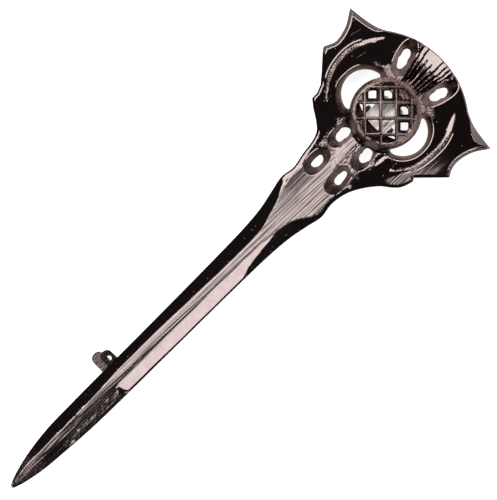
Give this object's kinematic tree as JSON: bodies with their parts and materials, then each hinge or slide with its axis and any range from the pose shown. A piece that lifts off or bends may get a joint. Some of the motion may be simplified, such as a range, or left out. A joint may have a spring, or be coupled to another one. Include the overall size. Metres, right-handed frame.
{
  "type": "kilt pin",
  "caption": "Kilt pin: a long faceted blade ending in a pierced thistle with an openwork ball and fluted crest, with a hinged needle and a turning safety catch on its back.",
  "frame": {"origin": "on the surface that the pin lies on, under the middle of its length", "axes": "+Y along the pin from the blade's tip to the thistle, +X to the right seen from the front with the thistle up, +Z out of the face"},
  "size_m": [0.0328, 0.1, 0.0091],
  "materials": {
    "black_nickel": "zinc casting, polished and plated in black nickel",
    "nickel_finding": "pressed steel, nickel plated",
    "steel_wire": "drawn and polished steel wire"
  },
  "bodies": {
    "base": {"pin_body": "black_nickel", "joint_plate": "nickel_finding", "hinge_rivet": "nickel_finding", "catch_housing": "nickel_finding"},
    "needle": {"needle": "steel_wire"},
    "roller": {"catch_roller": "nickel_finding"}
  },
  "joints": [
    {"name": "needle_hinge", "type": "hinge", "parent": "base", "child": "needle", "pos_m": [0, 0.03545, 0.00199], "axis": [1, 0, 0], "range_deg": [0, 95]},
    {"name": "roller_turn", "type": "hinge", "parent": "base", "child": "roller", "pos_m": [0, -0.0237, 0.00199], "axis": [0, -1, 0], "range_deg": [0, 110]}
  ]
}
